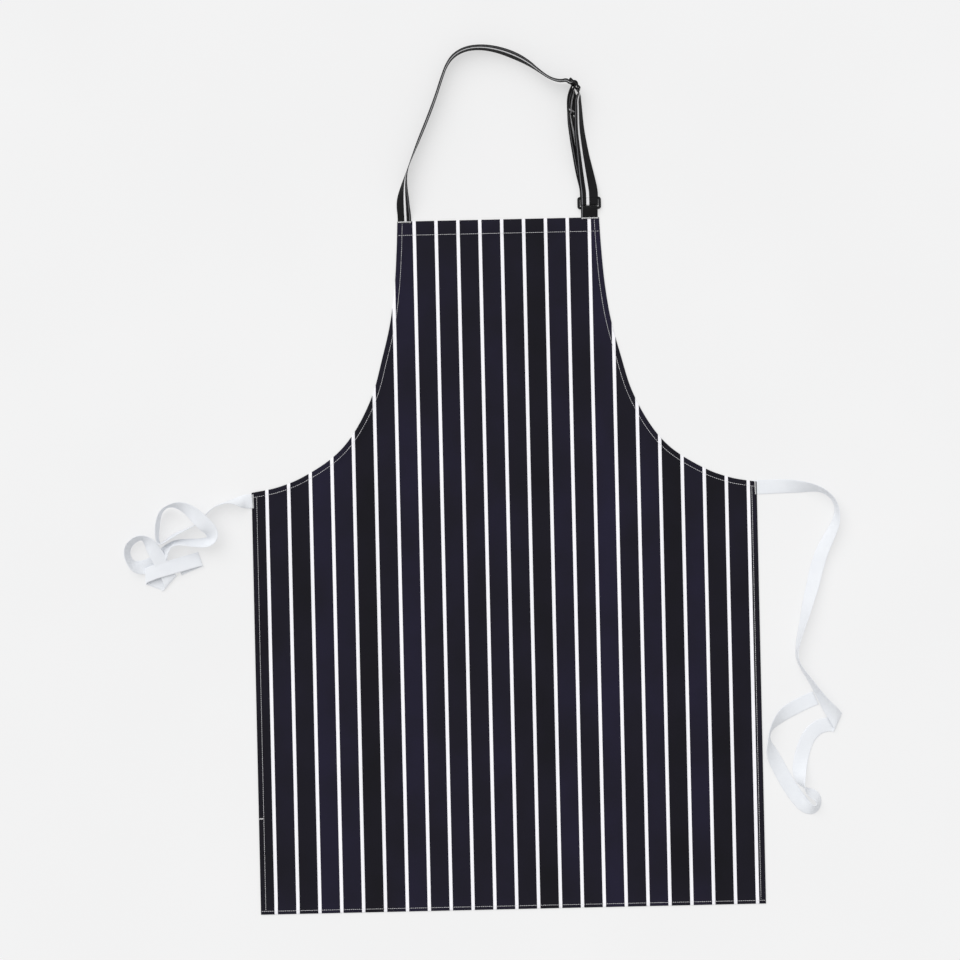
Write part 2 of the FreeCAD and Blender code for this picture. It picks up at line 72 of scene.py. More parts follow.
# ================================================================ dimensions, millimetres
HALF_WIDTH = 355.5
BOTTOM_Y = -584.0
WAIST_Y = 10.0
TOP_Y = 387.0
CLOTH = 0.6
HEM = 1.2
FACE = HEM + CLOTH
TOP_HEM = 21.0
BOTTOM_HEM = 7.0
SIDE_HEM = 8.5
TOP_STITCH = 19.5
BOTTOM_STITCH = 4.7
SIDE_STITCH = 7.0
STRIPE_FIRST = -334.0
STRIPE_STEP = 30.8
STRIPE_WIDTH = 4.6
STRIPE_COUNT = 23
TOP_HALF = 142              # half of the bib's top edge
# armhole edge, (distance from the middle, height), from the top corner to the waist corner
ARMHOLE = [(142, 387), (144, 345), (148, 294), (155.5, 243), (168, 193), (183, 142),
           (209, 92), (238, 59), (284, 30), (320, 16.5), (355.5, 10)]
WEBBING = 25.0
WEB = 1.0
TAPE = 20.0
TIE = 1.0
RING_X = 128.5
RING_LOW_Y = 400.1
RING_HIGH_Y = 413.9
RING_Z = 3.05
RING_BAR = 1.9
TAB_WIDTH = 23.4
TAB = 1.1
SLACK_Y = 406.15            # centre of the strap's turn, slack below the ring's upper bar
BAR_PLAY = 0.1              # between the ring's bar and the strap round it
SLIDER_MID = Vector((111.0, 571.5, 16.0))
SLIDER_BEARING = -45.0

# x, y, z of the middle line, bearing and lift of the left-hand edge in degrees
NECK = [
    (-129.5, 373, 0.6, 180, 0),
    (-129.7, 391, 0.6, 180, 0),
    (-130.4, 402, 4.0, 180, -20),
    (-131, 415, 7.4, 180, -36),
    (-130.5, 430, 10.2, 182, -60),
    (-129, 444, 11.9, 184, -76),
    (-126, 457, 12.9, 184, -84),
    (-121, 471, 13.0, 160, -86),
    (-110, 497, 13.0, 20, -87),
    (-96, 529, 13.0, -20, -87),
    (-84, 559, 13.0, -25, -87),
    (-75, 585.5, 13.0, -30, -87),
    (-68, 603.5, 13.0, -40, -88),
    (-58, 617, 13.0, -60, -87),
    (-41, 626, 13.0, -80, -86),
    (-19, 628, 12.9, -90, -84),
    (4, 624, 12.9, -95, -80),
    (28, 615, 12.8, -100, -76),
    (47, 604.5, 13.0, -105, -83),
    (62, 592.5, 13.3, 70, -88),
    (77, 581.5, 14.2, 70, -86),
    (91, 577, 15.4, 60, -88),
]
NECK_SPLIT = 199.0          # distance along the strap where its lower piece ends
ADJUSTING = [
    (115.4, 551, 14.4, -12, -66),
    (115.9, 539, 13.6, -10, -63),
    (115.9, 524, 12.9, -5, -58),
    (116.4, 508, 11.6, 0, -52),
    (118.8, 488, 10.6, 2, -46),
    (121, 471, 9.6, 3, -40),
    (124.2, 450, 8.0, 3, -26),
    (127, 432, 6.2, 2, -10),
]
RETURN = [
    (127.4, 432, 1.4, 180, 4),
    (121.8, 451, 5.6, 180, 24),
    (116.0, 471, 9.6, 180, 41),
    (112.2, 488, 10.9, 180, 46),
    (108.6, 508, 11.9, 178, 53),
    (105.8, 520, 12.6, 176, 61),
    (104.4, 531, 12.9, 176, 68),
]
RIGHT_TIE = [
    (349, 2, 0.6, 90, 0),
    (372, 2.4, 0.6, 90, 0),
    (390, 3, 2.4, 90, 10),
    (412, 2, 5.8, 88, 30),
    (433, 0, 8.9, 82, 58),
    (449, -5, 10.3, 60, 78),
    (462, -16, 10.4, 40, 84),
    (467, -31, 10.4, 10, 82),
    (465, -49, 9.4, -15, 64),
    (455, -69, 7.9, -25, 48),
    (444, -91, 6.0, -22, 34),
    (436, -115, 5.1, -17, 28),
    (430, -139, 6.3, -14, 36),
    (423, -161, 7.8, -14, 48),
    (417, -183, 9.3, -15, 64),
    (411, -203, 10.0, -15, 75),
    (406, -223, 10.4, -15, 85),
    (405, -239, 10.8, 20, 88),
    (412, -254, 12.0, 35, 85),
    (423, -270, 13.2, 35, 76),
    (433, -286, 13.0, 35, 68),
    (443, -302, 11.4, 37, 50),
    (452, -314, 9.0, 42, 28),
    (458, -322.5, 6.6, 58, 12),
    (461.8, -328.6, 4.2, 65, 0),
    (462.4, -331.4, 2.2, 65, 0),
    (458, -333, 0.8, 65, 0),
    (447, -334, 0.6, 80, 0),
    (434, -337, 0.6, 108, 0),
    (421, -349, 0.6, 148, 0),
    (414, -365, 0.6, 165, 0),
    (409, -381, 1.0, 176, -4),
    (406, -397, 4.0, 186, -20),
    (406, -410, 8.0, 196, -50),
    (410, -420, 10.4, 250, -84),
    (417, -426, 9.4, 40, -62),
    (426, -431, 8.4, 30, -48),
    (432, -439, 9.2, 5, -58),
    (431, -449, 9.4, -45, -62),
    (423, -453, 7.0, -85, -40),
    (412, -447, 3.0, -115, -12),
    (400, -432, 0.9, -143, 0),
    (389, -414, 0.6, -148, 0),
    (378, -393, 0.9, 206, 4),
    (368, -372, 5.4, 196, 30),
    (363, -354, 9.9, 186, 76),
    (366, -339, 10.0, 152, 74),
    (375, -327, 7.8, 132, 46),
    (388, -316, 3.8, 120, 18),
    (404, -308, 0.9, 115, 0),
    (419, -301, 0.6, 113, 0),
    (432, -296, 0.6, 112, 0),
]
LEFT_TIE = [
    (-349, -2, 0.6, 270, 0),
    (-361, -2, 0.6, 270, 0),
    (-371, -1.5, 7.6, 270, 46),
    (-382, -1, 9.8, 268, 74),
    (-393, -3, 10.3, 280, 85),
    (-408, -8, 10.5, 300, 86),
    (-418, -17, 10.5, 330, 86),
    (-426, -28, 10.5, 320, 86),
    (-438, -35, 10.5, 300, 86),
    (-452, -41, 10.5, 290, 82),
    (-465, -47, 10.4, 300, 76),
    (-477, -55, 10.4, 310, 80),
    (-485, -60, 10.5, 270, 88),
    (-488.5, -54, 10.6, 180, 86),
    (-488.5, -40, 10.8, 180, 80),
    (-486.5, -26, 11.6, 175, 80),
    (-483, -15, 12.8, 160, 84),
    (-476, -8, 15.0, 140, 86),
    (-466, -5, 18.5, 110, 78),
    (-455, -6, 22.0, 95, 54),
    (-443, -11, 24.5, 80, 30),
    (-431, -21, 26.0, 60, 12),
    (-420, -32, 25.0, 45, 4),
    (-411.5, -41, 21.5, 20, 15),
    (-409.5, -50, 17.0, -5, 35),
    (-414, -56.5, 13.2, -55, 48),
    (-423, -58.8, 10.6, -85, 50),
    (-435, -58.5, 10.2, -88, 56),
    (-447, -57.5, 10.4, -90, 62),
    (-459, -57, 10.5, -92, 68),
    (-468, -59, 10.2, -80, 68),
    (-476, -66, 8.6, -45, 54),
    (-482, -74, 5.8, -35, 30),
    (-489, -82, 2.2, -45, 8),
    (-499, -88, 0.9, -70, 0),
    (-511, -92, 1.8, -85, 8),
    (-521, -90, 7.0, -110, 45),
    (-528, -83, 9.9, -145, 70),
    (-532, -71, 10.2, -175, 73),
    (-529, -60, 10.2, 155, 70),
    (-520, -52, 10.6, 125, 70),
    (-511, -49, 11.6, 95, 70),
    (-502.5, -54, 12.6, 60, 44),
    (-496, -63, 12.6, 42, 18),
    (-490, -73, 11.0, 32, 4),
    (-484, -85, 8.4, 27, 0),
    (-478.5, -96, 6.2, 28, 0),
    (-475.0, -104.5, 4.8, 38, 0),
    (-472.8, -110.8, 3.9, 46, 0),
    (-472.4, -114.2, 2.2, 47, 0),
    (-476.5, -115.8, 0.8, 48, 0),
    (-484, -113.5, 0.6, 58, 0),
    (-494, -110, 0.6, 68, 0),
    (-503, -106, 0.9, 84, 0),
    (-508, -104, 3.6, 92, 0),
    (-503, -101.5, 6.6, 97, 0),
    (-490, -97, 8.2, 104, 0),
    (-474, -93, 7.8, 104, 0),
    (-459, -89, 6.4, 104, 0),
    (-444, -85, 5.0, 105, 0),
    (-433, -82, 4.2, 108, 0),
    (-428, -81.6, 2.4, 108, 0),
    (-434, -84, 0.8, 108, 0),
    (-447, -89, 0.6, 108, 0),
    (-460, -95, 0.6, 112, 0),
]


# ================================================================ materials
TWILL_ANGLE = 0.9           # of the weave's diagonal, radians
TWILL_PITCH = 0.0009        # metres, as the other pitches of the materials
WEBBING_RIB = 0.0011
TAPE_RIB = 0.0009
THREAD_TWIST = 0.0006


class Nodes:
    """A material and short calls that add nodes to it."""

    def __init__(self, name):
        self.mat = bpy.data.materials.new(name)
        self.mat.use_nodes = True
        self.tree = self.mat.node_tree
        self.shader = self.tree.nodes["Principled BSDF"]

    def add(self, kind, **props):
        node = self.tree.nodes.new(kind)
        for key, value in props.items():
            setattr(node, key, value)
        return node

    def link(self, a, b):
        self.tree.links.new(a, b)

    def math(self, op, a, b=None):
        node = self.add("ShaderNodeMath", operation=op)
        for i, v in enumerate((a, b)):
            if v is None:
                continue
            if isinstance(v, (int, float)):
                node.inputs[i].default_value = v
            else:
                self.link(v, node.inputs[i])
        return node.outputs[0]

    def vector(self, source="Object"):
        return self.add("ShaderNodeTexCoord").outputs[source]

    def xy(self, vector):
        split = self.add("ShaderNodeSeparateXYZ")
        self.link(vector, split.inputs[0])
        return split.outputs[0], split.outputs[1]

    def mix(self, first, share, second, other):
        """first * share + second * other"""
        return self.math("ADD", self.math("MULTIPLY", first, share), self.math("MULTIPLY", second, other))

    def wave(self, along, pitch):
        return self.math("SINE", self.math("MULTIPLY", along, 2 * math.pi / pitch))

    def noise(self, vector, scale, detail):
        node = self.add("ShaderNodeTexNoise")
        node.inputs["Scale"].default_value = scale
        node.inputs["Detail"].default_value = detail
        self.link(vector, node.inputs["Vector"])
        return node.outputs["Fac"]

    def ramp(self, fac, stops):
        node = self.add("ShaderNodeValToRGB")
        while len(node.color_ramp.elements) < len(stops):
            node.color_ramp.elements.new(0.5)
        for e, (pos, col) in zip(node.color_ramp.elements, stops):
            e.position = pos
            e.color = (*col, 1)
        self.link(fac, node.inputs[0])
        return node.outputs[0]

    def bump(self, height, strength, distance):
        node = self.add("ShaderNodeBump")
        node.inputs["Strength"].default_value = strength
        node.inputs["Distance"].default_value = distance
        self.link(height, node.inputs["Height"])
        self.link(node.outputs[0], self.shader.inputs["Normal"])

    def set(self, **values):
        for key, value in values.items():
            self.shader.inputs[key.replace("_", " ")].default_value = value


def srgb(code):
    out = []
    for i in (0, 2, 4):
        c = int(code[i:i + 2], 16) / 255
        out.append(c / 12.92 if c <= 0.04045 else ((c + 0.055) / 1.055) ** 2.4)
    return tuple(out)


def twill(n, x, y):
    """Height of a diagonal twill weave in object space."""
    slope = n.mix(x, math.cos(TWILL_ANGLE), y, math.sin(TWILL_ANGLE))
    return n.mix(n.wave(slope, TWILL_PITCH), 0.35, n.wave(y, TWILL_PITCH * 1.3), 0.2)


def cloth_material(name, low, high, tint):
    """Woven cloth whose tone differs a little from one stripe's field to the next."""
    n = Nodes(name)
    vec = n.vector()
    x, y = n.xy(vec)
    weave = twill(n, x, y)
    band = n.math("FLOOR", n.math("DIVIDE", n.math("SUBTRACT", x, STRIPE_FIRST * MM), STRIPE_STEP * MM))
    tone = n.add("ShaderNodeTexWhiteNoise", noise_dimensions="1D")
    n.link(band, tone.inputs["W"])
    mixed = n.mix(tone.outputs["Value"], 0.35, n.noise(vec, 9.0, 3.0), 0.65)
    fine = n.noise(vec, 900.0, 2.0)
    mixed = n.math("ADD", mixed, n.math("MULTIPLY", n.math("SUBTRACT", fine, 0.5), 0.25))
    colour = n.ramp(mixed, [(0.2, low), (0.5, tint), (0.85, high)])
    n.link(colour, n.shader.inputs["Base Color"])
    rough = n.math("ADD", n.math("MULTIPLY", fine, 0.12), 0.72)
    n.link(rough, n.shader.inputs["Roughness"])
    n.set(Sheen_Weight=0.03, Sheen_Roughness=0.5, Specular_IOR_Level=0.16)
    n.bump(n.math("ADD", weave, n.math("MULTIPLY", fine, 0.4)), 0.35, 0.0002)
    return n.mat


def ribbon_material(name, low, high, rib, rough0, sheen):
    """Woven narrow goods: ribs across the band, fine ends along it. UV is in metres."""
    n = Nodes(name)
    vec = n.vector("UV")
    u, v = n.xy(vec)
    weave = n.mix(n.wave(v, rib), 0.5, n.wave(u, rib * 0.8), 0.3)
    speck = n.noise(vec, 1400.0, 2.0)
    shade = n.mix(speck, 0.5, n.noise(vec, 40.0, 2.0), 0.35)
    shade = n.math("ADD", shade, n.math("MULTIPLY", weave, 0.12))
    n.link(n.ramp(shade, [(0.2, low), (0.8, high)]), n.shader.inputs["Base Color"])
    n.link(n.math("ADD", n.math("MULTIPLY", speck, 0.15), rough0), n.shader.inputs["Roughness"])
    n.set(Sheen_Weight=sheen, Sheen_Roughness=0.45, Specular_IOR_Level=0.18)
    n.bump(weave, 0.5, 0.00025)
    return n.mat


def thread_material(name, low, high):
    n = Nodes(name)
    vec = n.vector()
    x, y = n.xy(vec)
    twist = n.wave(n.math("ADD", x, y), THREAD_TWIST)
    speck = n.noise(vec, 500.0, 2.0)
    n.link(n.ramp(speck, [(0.2, low), (0.8, high)]), n.shader.inputs["Base Color"])
    n.set(Roughness=0.7, Sheen_Weight=0.1)
    n.bump(twist, 0.4, 0.0001)
    return n.mat


def plastic_material(name, low, high, rough0):
    n = Nodes(name)
    vec = n.vector()
    grain = n.noise(vec, 1500.0, 3.0)
    n.link(n.ramp(n.noise(vec, 60.0, 2.0), [(0.3, low), (0.7, high)]), n.shader.inputs["Base Color"])
    n.link(n.math("ADD", n.math("MULTIPLY", grain, 0.18), rough0), n.shader.inputs["Roughness"])
    n.set(Coat_Weight=0.02, Coat_Roughness=0.3, Specular_IOR_Level=0.22)
    n.bump(grain, 0.12, 0.0001)
    return n.mat


M_CLOTH = cloth_material("striped_cloth", srgb("0c0b11"), srgb("1e1b31"), srgb("15131f"))
M_STRIPE = cloth_material("stripe_yarn", srgb("ececf0"), srgb("fbfafd"), srgb("f5f4f9"))
M_WEB = ribbon_material("webbing_black", srgb("09090b"), srgb("18181a"), WEBBING_RIB, 0.66, 0.02)
M_WEB_WHITE = ribbon_material("webbing_white", srgb("d8d8da"), srgb("f6f6f7"), WEBBING_RIB, 0.65, 0.1)
M_WEB_GREY = ribbon_material("webbing_grey", srgb("6b6b6f"), srgb("8e8e92"), WEBBING_RIB, 0.65, 0.1)
M_TAPE = ribbon_material("tape_white", srgb("e6e9ee"), srgb("f3f5f8"), TAPE_RIB, 0.75, 0.15)
M_THREAD = thread_material("sewing_thread", srgb("c4c3c6"), srgb("f0eff2"))
# the bar tacks' thread is a lighter copy of the sewing thread: painted light that makes up for the shade on
# the thin zigzag
M_TACK_LIT = thread_material("tack_thread", srgb("ececee"), srgb("fdfdfd"))
M_PLASTIC = plastic_material("black_plastic", srgb("0a0a0c"), srgb("131316"), 0.42)
M_LABEL = cloth_material("label_cloth", srgb("e4e4e2"), srgb("f2f2f0"), srgb("ececea"))


# ================================================================ mesh helpers
def mesh_object(name, verts, faces, mats, index=None, uv=None, smooth=True):
    mesh = bpy.data.meshes.new(name)
    mesh.from_pydata([tuple(v) for v in verts], [], faces)
    for m in mats:
        mesh.materials.append(m)
    if index:
        mesh.polygons.foreach_set("material_index", index)
    if smooth:
        mesh.polygons.foreach_set("use_smooth", [True] * len(mesh.polygons))
    if uv:
        layer = mesh.uv_layers.new(name="UVMap")
        flat = [c for face in uv for corner in face for c in corner]
        layer.data.foreach_set("uv", flat)
    mesh.update()
    obj = bpy.data.objects.new(name, mesh)
    scene.collection.objects.link(obj)
    return obj


def face_outward(obj):
    bm = bmesh.new()
    bm.from_mesh(obj.data)
    bmesh.ops.recalc_face_normals(bm, faces=bm.faces)
    bm.to_mesh(obj.data)
    bm.free()


def edge_direction(bearing, lift):
    b = math.radians(bearing)
    e = math.radians(lift)
    return Vector((math.cos(b) * math.cos(e), math.sin(b) * math.cos(e), math.sin(e)))


def nurbs(points, per):
    """Smooth line that the given points pull toward them, with per steps for each point."""
    curve = bpy.data.curves.new("line", "CURVE")
    curve.dimensions = "3D"
    spline = curve.splines.new("NURBS")
    spline.points.add(len(points) - 1)
    for p, q in zip(spline.points, points):
        p.co = (*q, 1)
    spline.order_u = 3
    spline.use_endpoint_u = True
    spline.resolution_u = per
    obj = bpy.data.objects.new("line", curve)
    scene.collection.objects.link(obj)
    bpy.context.view_layer.update()
    mesh = bpy.data.meshes.new_from_object(obj)
    out = [v.co.copy() for v in mesh.vertices]
    bpy.data.objects.remove(obj)
    bpy.data.curves.remove(curve)
    bpy.data.meshes.remove(mesh)
    return out


ROUTE_STEPS = 14            # steps of a band's line for each point of its route
LEAST_SLANT = 0.72          # keeps a band that runs askew from growing too wide
TABLE_GAP = 0.0002          # least height of a band above the table, metres
LIFT_SPAN = 6               # steps on either side over which a lift is spread
THIN_EDGE = 0.05            # share of the half width over which a band thins toward its edge
EDGE_LEFT = 0.45            # share of its thickness that is left at the edge


def slant(t, w):
    """Sine of the angle between the line and its cross direction; 1 where the band runs square."""
    return max(LEAST_SLANT, t.cross(w).length)


def rings_of(route, width, thick):
    """[centre, tangent, cross direction, distance] along a route given in millimetres, in metres."""
    half = width * MM / 2
    mids = [Vector(q[:3]) * MM for q in route]
    a = nurbs(mids, ROUTE_STEPS)
    b = nurbs([m + edge_direction(q[3], q[4]) * half for m, q in zip(mids, route)], ROUTE_STEPS)
    out = []
    s = 0.0
    for i, p in enumerate(a):
        t = (a[min(i + 1, len(a) - 1)] - a[max(i - 1, 0)]).normalized()
        w = (b[i] - p).normalized()
        if i:
            s += (p - a[i - 1]).length
        out.append([p.copy(), t, w, s])
    # lift the band off the table, by a lift that changes gently along it
    need = []
    for p, t, w, s in out:
        n = t.cross(w).normalized()
        reach = abs(w.z) * half / slant(t, w) + abs(n.z) * thick * MM / 2
        need.append(max(0.0, reach + TABLE_GAP - p.z))
    need = np.array(need)
    wide = np.array([need[max(0, i - LIFT_SPAN):i + LIFT_SPAN + 1].max() for i in range(len(need))])
    kernel = np.hanning(2 * LIFT_SPAN + 1)
    kernel /= kernel.sum()
    soft = np.convolve(np.pad(wide, LIFT_SPAN, mode="edge"), kernel, mode="valid")
    for q, lift in zip(out, soft):
        q[0].z += lift
    return out


def ribbon(name, rings, width, thick, bands, mats, cup=None, narrow=None):
    """Woven band. bands: list of (u from -1 to 1, material of the strip that starts there).
    cup and narrow give the rise of the edges and the share of the width at a distance."""
    us = [b[0] for b in bands] + [1.0]
    half = width * MM / 2
    t2 = thick * MM / 2
    n = len(us)
    verts = []
    for p, t, w, s in rings:
        nrm = t.cross(w).normalized()
        c = cup(s) if cup else 0.0
        across = half / slant(t, w) * (narrow(s) if narrow else 1.0)
        row = []
        for side in (1, -1):
            order = us if side == 1 else us[::-1]
            for u in order:
                edge = min(1.0, (1 - abs(u)) / THIN_EDGE)
                h = t2 * (EDGE_LEFT + (1 - EDGE_LEFT) * math.sqrt(edge)) * side
                lie = c * (u * u - 0.33)
                row.append(p + w * (across * u) + nrm * (h + lie))
        verts += row
    faces = []
    index = []
    uv = []
    m = 2 * n
    for i in range(len(rings) - 1):
        s0 = rings[i][3]
        s1 = rings[i + 1][3]
        for j in range(m):
            k = (j + 1) % m
            faces.append((i * m + j, i * m + k, (i + 1) * m + k, (i + 1) * m + j))
            if j < n - 1:
                index.append(bands[j][1])
                ua, ub = us[j], us[j + 1]
            elif j == n - 1:
                index.append(bands[-1][1])
                ua, ub = 1.0, 1.05
            elif j < m - 1:
                q = m - 2 - j
                index.append(bands[q][1])
                ua, ub = us[q + 1], us[q]
            else:
                index.append(bands[0][1])
                ua, ub = -1.0, -1.05
            x0 = ua * half
            x1 = ub * half
            uv.append(((x0, s0), (x1, s0), (x1, s1), (x0, s1)))
    for base, flip in ((0, True), ((len(rings) - 1) * m, False)):
        for j in range(n - 1):
            a, b = base + j, base + j + 1
            c, d = base + m - 2 - j, base + m - 1 - j
            faces.append((d, c, b, a) if flip else (a, b, c, d))
            index.append(bands[j][1])
            uv.append(((0, 0), (0.001, 0), (0.001, 0.001), (0, 0.001)))
    obj = mesh_object(name, verts, faces, mats, index, uv)
    face_outward(obj)
    return obj


def rings_along(points, across):
    """Rings along points in metres, all with one cross direction."""
    out = []
    s = 0.0
    for i, p in enumerate(points):
        t = (points[min(i + 1, len(points) - 1)] - points[max(i - 1, 0)]).normalized()
        if i:
            s += (p - points[i - 1]).length
        out.append([p, t, Vector(across), s])
    return out


def mirrored(bands):
    us = [b[0] for b in bands] + [1.0]
    mats = [b[1] for b in bands]
    return [(-us[i + 1], mats[i]) for i in range(len(bands) - 1, -1, -1)]


# a grey edge line and a white stripe on the strap, a plain tie, a grey edge line on the tab
STRAP_BANDS = [(-1.0, 0), (-0.95, 0), (-0.83, 2), (-0.75, 0), (-0.6, 0), (-0.45, 0), (-0.316, 1),
               (-0.16, 1), (-0.004, 0), (0.2, 0), (0.4, 0), (0.6, 0), (0.8, 0), (0.95, 0)]
PLAIN_BANDS = [(u, 0) for u in (-1.0, -0.95, -0.8, -0.6, -0.4, -0.2, 0.0, 0.2, 0.4, 0.6, 0.8, 0.95)]
TAB_BANDS = [(-1.0, 0), (-0.95, 0), (-0.89, 2), (-0.82, 0), (-0.5, 0), (0.0, 0), (0.5, 0), (0.82, 0),
             (0.95, 0)]
WEB_MATS = [M_WEB, M_WEB_WHITE, M_WEB_GREY]

# ================================================================ cords: neck strap and ties
SU = edge_direction(SLIDER_BEARING, 0)
SN = edge_direction(SLIDER_BEARING + 90, 0)
BASE_SHIFT = 2.4            # millimetres to the left at the strap's first point, none at its eighth


def on_slider(u, n, z=0.0, bearing=SLIDER_BEARING + 90, lift=-89.9):
    """Route point at u along the slider, n off its face and z up, in millimetres."""
    p = SLIDER_MID + SU * u + SN * n
    return (p.x, p.y, p.z + z, bearing, lift)


neck_route = [(q[0] - BASE_SHIFT * max(0.0, 1 - k / 7), *q[1:]) for k, q in enumerate(NECK)]
neck_route += [on_slider(-13, -2.6, -0.4), on_slider(-7.0, -2.75), on_slider(-2.9, 3.6), on_slider(0, 3.61)]
neck = rings_of(neck_route, WEBBING, WEB)


CUP_DEPTH = 0.0024          # metres
CUP_NARROWS = 0.235         # share of the width that the cup takes off


def between(low, high, s):
    """0 up to low, 1 from high on; the other way round where low is the greater."""
    return max(0.0, min(1.0, (s - low) / (high - low)))


def base_cup(s):
    """The strap is cupped where it leaves the hem and flattens further up."""
    return CUP_DEPTH * between(0.019, 0.033, s) * between(0.078, 0.038, s)


def base_narrow(s):
    """Seen from above, a cupped strap is narrower."""
    return 1 - CUP_NARROWS * between(0.068, 0.023, s)


lower = [q for q in neck if q[3] <= NECK_SPLIT * MM]
upper = neck[len(lower) - 1:]
strap_lower = ribbon("neck_strap_lower_web", lower, WEBBING, WEB, STRAP_BANDS, WEB_MATS, cup=base_cup,
                     narrow=base_narrow)
strap_upper = ribbon("neck_strap_upper_web", upper, WEBBING, WEB, STRAP_BANDS, WEB_MATS)
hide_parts("neck_strap_lower")
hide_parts("neck_strap_upper")
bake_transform(strap_lower)
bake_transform(strap_upper)

for side, route in (("left", LEFT_TIE), ("right", RIGHT_TIE)):
    rings = rings_of(route, TAPE, TIE)
    tie = ribbon(side + "_waist_tape", rings, TAPE, TIE, PLAIN_BANDS, [M_TAPE])
    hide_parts(side + "_waist_tie")
    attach(tie, "apron")

# ================================================================ the runs, ring loop and sewn end
loop_top = RING_Z + RING_BAR + BAR_PLAY + WEB / 2
loop_low = RING_Z - RING_BAR - BAR_PLAY - WEB / 2
run_route = [on_slider(0, 3.61), on_slider(2.9, 3.6), on_slider(7.0, -2.75)]
run_route += [on_slider(13, -2.6, -0.8, 30, -84)] + ADJUSTING
run_route += [(RING_X, 422, loop_top, 0, 0), (RING_X, RING_HIGH_Y, loop_top + 0.01, 0, 0)]
run = rings_of(run_route, WEBBING, WEB)
adjusting = ribbon("adjusting_run_web", run, WEBBING, WEB, STRAP_BANDS, WEB_MATS)
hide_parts("adjusting_run")
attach(adjusting, "ring")
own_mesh(adjusting)

back_route = [(RING_X, RING_HIGH_Y, loop_low, 180, 0), (RING_X, 422, loop_low + 0.05, 180, 0)] + RETURN
back = rings_of(back_route, WEBBING, WEB)
return_run = ribbon("return_run_web", back, WEBBING, WEB, mirrored(STRAP_BANDS), WEB_MATS)
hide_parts("return_run")
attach(return_run, "ring")
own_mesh(return_run)

# the strap's turn round the ring's upper bar: a leg, half a circle, a leg
turn_r = (loop_top - loop_low) / 2
leg = (RING_HIGH_Y - SLACK_Y) / 4
turns = [math.pi * k / 16 for k in range(17)]
loop_line = [(RING_HIGH_Y - k * leg, turn_r) for k in range(4)]
loop_line += [(SLACK_Y - turn_r * math.sin(a), turn_r * math.cos(a)) for a in turns]
loop_line += [(SLACK_Y + k * leg, -turn_r) for k in range(1, 5)]
loop_rings = rings_along([Vector((RING_X, y, RING_Z + z)) * MM for y, z in loop_line], (1, 0, 0))
end_loop = ribbon("ring_end_loop_web", loop_rings, WEBBING, WEB, STRAP_BANDS, WEB_MATS)
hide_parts("ring_end_loop")
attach(end_loop, "ring")

# the sewn end goes on from the return run, round the slider's middle bar and back over itself
LAYER_STEP = 1.2            # between the middles of the fold's two layers
tail, tail_t, tail_w = back[-1][:3]
tail_n = tail_t.cross(tail_w).normalized()
start = (tail + tail_t * 0.3 * MM) / MM
stop = start + tail_n * LAYER_STEP
fold_route = [
    (start.x, start.y, start.z, 176, 68),
    (104.8, 546, 13.4, 172, 62),
    (106.6, 558, 14.8, 160, 66),
    on_slider(-1.9, -3.6, 0, 45, 89.9),
    on_slider(-2.05, -0.8, 0, 45, 89.9),
    on_slider(-1.9, 1.9, 0, 45, 89.9),
    on_slider(1.9, 1.9, 0, 45, 89.9),
    on_slider(2.05, -0.8, 0, 45, 89.9),
    on_slider(2.2, -3.6, 0, 45, 89.9),
    (109.6, 557.0, 15.0, 160, 62),
    (106.4, 546, 13.8, 172, 62),
    (stop.x, stop.y, stop.z, 176, 66),
]
fold = rings_of(fold_route, WEBBING, WEB)
end_fold = ribbon("strap_end_fold_web", fold, WEBBING, WEB, mirrored(STRAP_BANDS), WEB_MATS)
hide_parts("strap_end_fold")
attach(end_fold, "slider")


# ================================================================ outline of the cloth
ARMHOLE_STEPS = 120


def armhole_line():
    """The armhole edge as a smooth line through its points."""
    pts = [Vector((x, y, 0)) for x, y in ARMHOLE]
    n = len(pts)
    s = [0.0]
    for p, q in zip(pts, pts[1:]):
        s.append(s[-1] + (q - p).length)
    tang = []
    for i in range(n):
        if i == 0:
            tang.append((pts[1] - pts[0]) / (s[1] - s[0]))
        elif i == n - 1:
            tang.append((pts[-1] - pts[-2]) / (s[-1] - s[-2]))
        else:
            tang.append((pts[i + 1] - pts[i - 1]) / (s[i + 1] - s[i - 1]))
    out = []
    for k in range(ARMHOLE_STEPS + 1):
        d = s[-1] * k / ARMHOLE_STEPS
        i = min(max(j for j in range(n) if s[j] <= d + 1e-9), n - 2)
        h = s[i + 1] - s[i]
        f = (d - s[i]) / h
        a = pts[i] * (2 * f ** 3 - 3 * f ** 2 + 1) + tang[i] * h * (f ** 3 - 2 * f ** 2 + f)
        c = pts[i + 1] * (-2 * f ** 3 + 3 * f ** 2) + tang[i + 1] * h * (f ** 3 - f ** 2)
        out.append(a + c)
    return out


ARM = armhole_line()


def armhole_inset(inset, side):
    """The armhole edge moved into the cloth; side is 1 on the right and -1 on the left."""
    out = []
    for i, p in enumerate(ARM):
        t = (ARM[min(i + 1, len(ARM) - 1)] - ARM[max(i - 1, 0)]).normalized()
        out.append((side * (p.x + t.y * inset), p.y - t.x * inset))
    return out


def thin_out(points, step):
    """Those of the points that lie at least step apart."""
    out = [points[0]]
    for p in points[1:]:
        if math.dist(p, out[-1]) >= step:
            out.append(p)
    if out[-1] != points[-1]:
        out.append(points[-1])
    return out


SIDE_LENGTH = 594           # WAIST_Y down to BOTTOM_Y
WIDTH = 711
HEIGHT = 971
outline = armhole_inset(0, 1)
outline += [(HALF_WIDTH, WAIST_Y - k * SIDE_LENGTH / 120) for k in range(1, 121)]
outline += [(HALF_WIDTH - k * WIDTH / 144, BOTTOM_Y) for k in range(1, 145)]
outline += [(-HALF_WIDTH, BOTTOM_Y + k * SIDE_LENGTH / 120) for k in range(1, 121)]
outline += armhole_inset(0, -1)[-2::-1]
outline += [(-TOP_HALF + k * 2 * TOP_HALF / 58, TOP_Y) for k in range(1, 58)]


